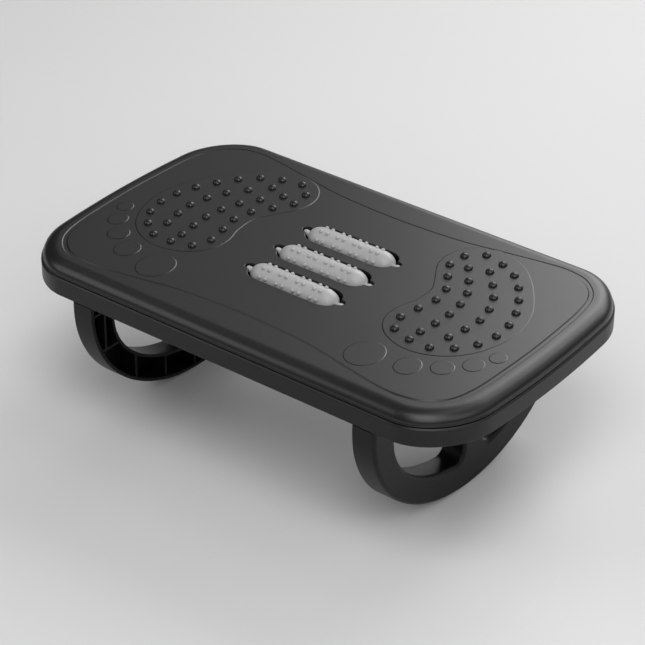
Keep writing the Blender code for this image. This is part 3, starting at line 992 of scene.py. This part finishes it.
@dataclass
class Rocker:
    """One curved rocker: a ring with a middle post, hollow and ribbed on the side facing inward."""

    side: Side
    low_corner: Vector
    high_corner: Vector
    screws: Outline
    tray_low: float
    straight: float = 7.9 * MM
    ring_side: float = 27 * MM
    ring_bottom: float = 26.5 * MM
    opening_straight: float = 19.7 * MM
    post_half: float = 13.25 * MM
    wall: float = 3.0 * MM
    flange: float = 3.7 * MM
    rib: float = 2.4 * MM
    rib_recess: float = 1.0 * MM
    edge_radius: float = 3.4 * MM
    corner_radius: float = 9.0 * MM
    boss_depth: float = 9.2 * MM
    boss_radius: float = 4.0 * MM
    pilot_radius: float = 1.8 * MM
    pilot_low: float = 0.1083
    arc_steps: int = 110

    @property
    def half_depth(self) -> float:
        """Half the rocker's length along Y."""
        return self.high_corner.y

    def arc(self, wall: float) -> Outline:
        """Gives the tread, end to end, moved inward by wall.

        Args:
            wall: How far.

        Returns:
            Y and Z places, from -Y to +Y.
        """
        half = self.half_depth - wall
        rise = self.tray_low - self.straight - wall
        turns = [math.pi * (k / self.arc_steps - 0.5) for k in range(self.arc_steps + 1)]
        return [(half * math.sin(t), wall + rise * (1 - math.cos(t))) for t in turns]

    def opening_arc(self, wall: float) -> Outline:
        """Gives the curved edge of the +Y opening, from the post outward, moved into the material by wall.

        Args:
            wall: How far.

        Returns:
            Y and Z places.
        """
        half = self.half_depth - self.ring_side + wall
        top = self.tray_low - self.opening_straight
        drop = top - self.ring_bottom + wall
        start = math.asin((self.post_half - wall) / half)
        turns = [start + (math.pi / 2 - start) * k / 40 for k in range(41)]
        return [(half * math.sin(t), top - drop * math.cos(t)) for t in turns]

    def rounded_opening(self, top: float, radius: float) -> Outline:
        """Gives the +Y opening with its three corners rounded.

        Args:
            top: The height of its flat upper edge.
            radius: The corner radius.

        Returns:
            The outline.
        """
        arc = self.opening_arc(0.0)
        corner = self.post_half
        lifted = [p for p in arc if p[0] > corner + radius]
        low_z = lifted[0][1] - 0.1 * MM
        rounded = [
            (corner + radius * (1 - math.cos(t)), low_z + radius * (1 - math.sin(t)))
            for t in [math.radians(15 * k) for k in range(7)]
        ]
        return rounded + lifted + [(lifted[-1][0], top), (corner, top)]

    def solid(self) -> bpy.types.Object:
        """Builds the rocker before it is hollowed: the pierced plate with rounded outer edges.

        Returns:
            The plate.
        """
        inner_x = self.side.value * min(abs(self.low_corner.x), abs(self.high_corner.x))
        outer_x = self.side.value * max(abs(self.low_corner.x), abs(self.high_corner.x))
        top = self.high_corner.z
        arc = self.arc(0.0)
        right = self.rounded_opening(top - self.flange, self.corner_radius)
        left = [(-y, z) for y, z in right]
        bm = bmesh.new()
        for outline in ([(arc[0][0], top), *arc, (arc[-1][0], top)], right, left):
            upright_loop(bm, outline, inner_x)
        bmesh.ops.triangle_fill(bm, use_beauty=True, use_dissolve=False, edges=bm.edges[:])
        grown = bmesh.ops.extrude_face_region(bm, geom=bm.faces[:])["geom"]
        moved = [part for part in grown if isinstance(part, bmesh.types.BMVert)]
        bmesh.ops.translate(bm, verts=moved, vec=(outer_x - inner_x, 0, 0))
        bmesh.ops.recalc_face_normals(bm, faces=bm.faces)
        for x, radius, segments in ((outer_x, self.edge_radius, 5), (inner_x, 0.7 * MM, 2)):
            rim = [
                e for e in bm.edges
                if all(abs(v.co.x - x) < 1e-6 for v in e.verts)
                and any(v.co.z < top - 1e-5 for v in e.verts)
                and e.is_manifold and e.calc_face_angle() > 1.0
            ]
            bmesh.ops.bevel(
                bm, geom=rim, offset=radius, offset_type="OFFSET", segments=segments, profile=0.5,
                affect="EDGES", material=-1, clamp_overlap=False,
            )
        return mesh_of(f"rocker_{self.side.name.lower()}_body", bm)

    def pocket(self) -> bpy.types.Object:
        """Builds the hollow inside the walls, with the ribs and screw bosses left out of it.

        Returns:
            The hollow, to carve with.
        """
        sign = self.side.value
        inner = min(abs(self.low_corner.x), abs(self.high_corner.x))
        outer = max(abs(self.low_corner.x), abs(self.high_corner.x))
        top = self.high_corner.z - self.wall
        arc = self.arc(self.wall)
        edge = self.opening_arc(self.wall)
        right = [(edge[-1][0], top), *edge[::-1], (edge[0][0], top)]
        left = [(-y, z) for y, z in right[::-1]]
        bm = bmesh.new()
        upright_loop(bm, [(arc[0][0], top), *arc, (arc[-1][0], top), *right, *left], sign * (inner - 1 * MM))
        bmesh.ops.triangle_fill(bm, use_beauty=True, use_dissolve=False, edges=bm.edges[:])
        grown = bmesh.ops.extrude_face_region(bm, geom=bm.faces[:])["geom"]
        moved = [part for part in grown if isinstance(part, bmesh.types.BMVert)]
        bmesh.ops.translate(bm, verts=moved, vec=(sign * (outer - inner - self.wall + 1 * MM), 0, 0))
        pocket = mesh_of("pocket", bm)
        x0, x1 = sorted((sign * (inner + self.rib_recess), sign * outer))
        half, deep = self.rib / 2, self.tray_low
        kept = []
        for end in (-1, 1):
            for y, z0, z1 in (
                (119 * MM, deep - 47 * MM, deep), (84 * MM, 0, deep * 0.5), (47 * MM, 0, deep * 0.4),
                (self.post_half - 4.3 * MM, 0, self.ring_bottom + 2 * MM),
            ):
                kept.append(block((x0, end * y - half, z0), (x1, end * y + half, z1)))
            for z, y0, y1 in ((deep - 47 * MM, 98 * MM, 132 * MM), (deep - 10 * MM, 119 * MM, 136 * MM)):
                y0, y1 = sorted((end * y0, end * y1))
                kept.append(block((x0, y0, z - half), (x1, y1, z + half)))
        for x, y in self.screws:
            kept.append(peg(x, y, self.boss_radius, top - self.boss_depth, top + 2 * MM))
        carve(pocket, kept)
        return pocket

    def build(self) -> bpy.types.Object:
        """Builds the rocker and dresses it.

        Returns:
            The piece.
        """
        body = self.solid()
        past_top = self.high_corner.z + 1 * MM
        pilots = [peg(x, y, self.pilot_radius, self.pilot_low, past_top) for x, y in self.screws]
        carve(body, [self.pocket(), *pilots])
        smooth(body.data, SHARP_ANGLE)
        even_shading(body)
        node = f"rocker_{self.side.name.lower()}"
        # The rockers' material carries painted shade: darker and less specular than the tray's plastic.
        return dress(body, "board", [node], [SHADE_DARKENED_ROCKER_PLASTIC.material()])


# ------------------------------------------------------------------ the rollers


@dataclass
class MassageRoller:
    """One roller: a barrel with domed ends, rows of paired nubs, and a stub axle at each end."""

    row: Row
    axle_y: float
    axle_z: float
    stub_end: float
    radius: float = 10.4 * MM
    barrel_half: float = 29.5 * MM
    body_half: float = 42.4 * MM
    stub_radius: float = 3.2 * MM
    neck_radius: float = 2.7 * MM
    sides: int = 56
    nub_rows: int = 8
    nub_radius: float = 1.9 * MM
    nub_sink: float = 0.3 * MM
    sharp_angle: float = 42.0
    pair_centres: tuple[float, ...] = (-25.8 * MM, -8.6 * MM, 8.6 * MM, 25.8 * MM)
    pair_half: float = 3.1 * MM
    phase: float = math.radians(-20)

    def profile(self) -> Outline:
        """Gives the half section from one end of the axle to the other, as X and radius.

        Returns:
            The places, from -X to +X.
        """
        stub, neck = self.stub_radius, self.neck_radius
        end = [
            (self.stub_end, 0.0),
            (self.stub_end, stub * 0.6),
            (self.stub_end - 0.4 * MM, stub * 0.97),
            (self.stub_end - 1.2 * MM, stub * 1.02),
            (self.stub_end - 3.4 * MM, stub),
            (self.stub_end - 4.6 * MM, neck),
            (self.body_half + 0.5 * MM, neck),
        ]
        for k in range(1, 8):
            turn = math.radians(90 * (1 - k / 8))
            x = self.barrel_half + (self.body_half - self.barrel_half) * math.sin(turn)
            end.append((x, neck + (self.radius - neck) * math.cos(turn)))
        return [(-x, r) for x, r in end] + end[::-1]

    def nubs(self) -> bpy.types.Object:
        """Builds all the nubs as balls that are half sunk in the barrel.

        Returns:
            All of them as one object, to add to the barrel.
        """
        bm = bmesh.new()
        centres = [c + s * self.pair_half for c in self.pair_centres for s in (-1, 1)]
        for row in range(self.nub_rows):
            turn = self.phase + 2 * math.pi * row / self.nub_rows
            for x in centres:
                place = Matrix.Translation((x, 0, self.radius - self.nub_sink))
                bmesh.ops.create_uvsphere(
                    bm, u_segments=12, v_segments=8, radius=self.nub_radius,
                    matrix=Matrix.Rotation(-turn, 4, "X") @ place,
                )
        return mesh_of("nubs", bm)

    def build(self) -> bpy.types.Object:
        """Builds the roller and dresses it.

        Returns:
            The piece.
        """
        bm = bmesh.new()
        verts = [bm.verts.new((x, 0, r)) for x, r in self.profile()]
        edges = [bm.edges.new(pair) for pair in zip(verts, verts[1:])]
        bmesh.ops.spin(
            bm, geom=verts + edges, cent=(0, 0, 0), axis=(1, 0, 0), dvec=(0, 0, 0), angle=2 * math.pi,
            steps=self.sides, use_merge=True, use_normal_flip=False, use_duplicate=False,
        )
        roller = mesh_of(f"massage_roller_{self.row.value}", bm)
        carve(roller, [self.nubs()], Carving.ADD)
        roller.data.transform(Matrix.Translation((0, self.axle_y, self.axle_z)))
        smooth(roller.data, self.sharp_angle)
        node = f"roller_{self.row.value}"
        return dress(roller, node, [node], [ROLLER_PLASTIC.material()])


# ------------------------------------------------------------------ the screws


@dataclass
class PanScrew:
    """One pan-head screw with a cross recess. It stands for one node and takes its place from it."""

    node: str
    shank_radius: float = 1.5 * MM
    head_radius: float = 3.5 * MM
    head_height: float = 2.2 * MM
    crown_radius: float = 2.2 * MM
    recess_half: float = 1.75 * MM
    recess_width: float = 0.42 * MM
    recess_depth: float = 1.1 * MM
    edge_break: float = 0.2 * MM
    tip_length: float = 1.2 * MM

    def section(self, length: float) -> Outline:
        """Gives height above the seat and radius, from the edge of the crown down to the tip.

        Args:
            length: The shank's length, with its tip.

        Returns:
            The places.
        """
        rim = [
            (self.head_height * (1 - (1 - math.cos(t)) * 0.75), self.crown_radius
             + (self.head_radius - self.crown_radius) * math.sin(t))
            for t in [math.radians(18 * k) for k in range(6)]
        ]
        edge = self.edge_break
        return rim + [
            (0.25 * MM, self.head_radius),
            (0.0, self.head_radius - edge),
            (0.0, self.shank_radius + edge),
            (-edge, self.shank_radius),
            (-(length - self.tip_length), self.shank_radius),
            (-length, 0.35 * self.shank_radius),
        ]

    def cross(self) -> Outline:
        """Gives the outline of the cross recess.

        Returns:
            The closed outline, anticlockwise.
        """
        long, short = self.recess_half, self.recess_width
        arm = [(long, -short), (long, short), (short, short)]
        turned = []
        for quarter in range(4):
            c, s = math.cos(quarter * math.pi / 2), math.sin(quarter * math.pi / 2)
            turned += [(x * c - y * s, x * s + y * c) for x, y in arm]
        return turned

    def build(self, material: bpy.types.Material) -> bpy.types.Object:
        """Builds the screw where its node is.

        Args:
            material: The plated steel that all the screws share.

        Returns:
            The piece.
        """
        low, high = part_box(self.node)
        middle = (low + high) / 2
        upward = -1 if self.node.startswith("rocker") else 1
        seat = (low.z + self.head_height) if upward == 1 else (high.z - self.head_height)
        length = high.z - low.z - self.head_height
        bm = bmesh.new()
        stages = [(ellipse(0, 0, r, r, 28), z) for z, r in self.section(length)]
        crown = loop(bm, *stages[0])
        tip = grow(bm, crown, stages[1:])
        bmesh.ops.contextual_create(bm, geom=edges_of(bm, tip))
        recess = loop(bm, self.cross(), self.head_height)
        fill(bm, [crown, recess])
        narrow = [(x * 0.55, y * 0.55) for x, y in self.cross()]
        bottom = grow(bm, recess, [(narrow, self.head_height - self.recess_depth)])
        bmesh.ops.contextual_create(bm, geom=edges_of(bm, bottom))
        if upward == 1:
            bmesh.ops.rotate(bm, cent=(0, 0, 0), matrix=Matrix.Rotation(math.pi, 3, "X"), verts=bm.verts)
        bmesh.ops.translate(bm, vec=(middle.x, middle.y, seat), verts=bm.verts)
        screw = mesh_of(f"pan_{self.node}", bm)
        return dress(screw, "board", [self.node], [material])


# ------------------------------------------------------------------ the room


@dataclass(frozen=True)
class SoftLight:
    """One square soft light, turned clockwise from straight behind the object and raised from level."""

    name: str
    turn: float
    rise: float
    distance: float
    size: float
    watts: float


@dataclass
class Studio:
    """A pale seamless floor, soft lights and the camera."""

    azimuth: float = 37.795
    elevation: float = 32.101
    roll: float = 0.004
    distance: float = 1.97135
    focal_length: float = 136.97
    target: tuple[float, float, float] = (0.02638, -0.03497, 0.1197)
    floor_half: float = 6.0
    world_colour: str = "#ffffff"
    world_strength: float = 0.05
    lights: tuple[SoftLight, ...] = (
        SoftLight("back_key", 20, 22, 3.0, 1.2, 14.5),
        SoftLight("back_right_low", 65, 22, 3.0, 1.2, 1.9),
        SoftLight("back_fill", 0, 38, 2.2, 1.2, 2.1),
        SoftLight("back_right", 45, 38, 2.2, 1.2, 14.9),
        SoftLight("right_fill", 90, 38, 2.2, 1.2, 3.0),
        SoftLight("right_front", 135, 38, 2.2, 1.2, 7.4),
        SoftLight("front_fill", 180, 38, 2.2, 1.2, 12.0),
        SoftLight("left_fill", 270, 38, 2.2, 1.2, 8.6),
        SoftLight("left_low", 260, 20, 2.6, 1.0, 1.6),
        SoftLight("front_high", 180, 66, 2.2, 1.1, 14.6),
        SoftLight("right_high", 120, 66, 2.2, 1.1, 0.4),
        SoftLight("small_left", 314, 55.3, 1.58, 0.5, 0.4),
        SoftLight("small_overhead", 74.7, 71.6, 1.58, 0.5, 1.1),
        SoftLight("small_back", 23.8, 44.1, 1.72, 0.5, 2.8),
    )

    def camera(self) -> None:
        """Places the camera by its azimuth, elevation and distance from the target."""
        az, el = math.radians(self.azimuth), math.radians(self.elevation)
        back = Vector((math.sin(az) * math.cos(el), -math.cos(az) * math.cos(el), math.sin(el)))
        flat_right = Vector((math.cos(az), math.sin(az), 0))
        flat_up = back.cross(flat_right)
        right = flat_right * math.cos(self.roll) + flat_up * math.sin(self.roll)
        up = flat_up * math.cos(self.roll) - flat_right * math.sin(self.roll)
        data = bpy.data.cameras.new("camera")
        data.lens = self.focal_length
        data.sensor_width = 36
        camera = bpy.data.objects.new("camera", data)
        bpy.context.scene.collection.objects.link(camera)
        turn = Matrix((right, up, back)).transposed().to_4x4()
        camera.matrix_world = Matrix.Translation(Vector(self.target) + back * self.distance) @ turn
        bpy.context.scene.camera = camera

    def floor(self) -> None:
        """Lays the floor."""
        bm = bmesh.new()
        bmesh.ops.create_grid(bm, x_segments=1, y_segments=1, size=self.floor_half)
        floor = mesh_of("floor", bm)
        floor.data.materials.append(PaleFloor().material())

    def hang(self, light: SoftLight) -> None:
        """Hangs one soft light, facing the middle of the floor.

        Args:
            light: Where it hangs and how strong it is.
        """
        turn, rise = math.radians(light.turn - self.azimuth), math.radians(light.rise)
        away = Vector((math.sin(turn) * math.cos(rise), math.cos(turn) * math.cos(rise), math.sin(rise)))
        data = bpy.data.lights.new(light.name, "AREA")
        data.shape = "SQUARE"
        data.size = light.size
        data.energy = light.watts
        lamp = bpy.data.objects.new(light.name, data)
        bpy.context.scene.collection.objects.link(lamp)
        facing = away.to_track_quat("Z", "Y").to_matrix().to_4x4()
        lamp.matrix_world = Matrix.Translation(away * light.distance) @ facing

    def build(self) -> None:
        """Sets up the whole room."""
        scene = bpy.context.scene
        scene.view_settings.view_transform = "Standard"
        world = bpy.data.worlds.new("studio")
        world.use_nodes = True
        background = world.node_tree.nodes["Background"]
        background.inputs["Color"].default_value = linear(self.world_colour)
        background.inputs["Strength"].default_value = self.world_strength
        scene.world = world
        self.floor()
        for light in self.lights:
            self.hang(light)
        self.camera()


def main() -> None:
    """Builds every sub-assembly in order, then the room."""
    logging.basicConfig(level=logging.INFO, format="%(name)s: %(message)s")
    tray_low, tray_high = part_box("base_tray")
    cover_low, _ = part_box("top_cover")
    plan = BoardPlan(tray_high.x, tray_high.y)
    rows = {}
    for row in Row:
        low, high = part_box(f"roller_{row.value}")
        rows[row] = ((low.y + high.y) / 2, (low.z + high.z) / 2, high.x)
    nodes = frame["nodes"]
    centres = {}
    for name in nodes:
        if "screw" in name:
            low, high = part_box(name)
            centres[name] = ((low.x + high.x) / 2, (low.y + high.y) / 2)

    BaseTray(plan, tray_low.z, tray_high.z).build(list(centres.values()))
    cover_screws = sorted(name for name in centres if name.startswith("cover"))
    panel = tray_low.z + PANEL_ABOVE_TRAY
    lip = tray_high.z + LIP_GAP
    TopCover(plan, Footprints(), RollerSlot(), lip - TONGUE_DEPTH, lip, panel, cover_low.z).build(
        [place[0] for place in rows.values()],
        [centres[name] for name in cover_screws],
        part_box(cover_screws[0])[1].z + 1 * MM,
    )
    for side in Side:
        low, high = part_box(f"rocker_{side.name.lower()}")
        screws = [c for name, c in centres.items() if name.startswith("rocker") and c[0] * side.value > 0]
        Rocker(side, low, high, screws, tray_low.z).build()
    for row, (axle_y, axle_z, stub_end) in rows.items():
        MassageRoller(row, axle_y, axle_z, stub_end).build()
    steel = SCREW_STEEL.material()
    for name in sorted(centres):
        PanScrew(name).build(steel)
    dull = INNER_PLASTIC.material()
    for name in ("axle_rail_left", "axle_rail_right"):
        nodes[name].data.materials.clear()
        nodes[name].data.materials.append(dull)
        LOG.info("%s: kept, dressed in %s", name, dull.name)
    Studio().build()


if __name__ == "__main__":
    main()
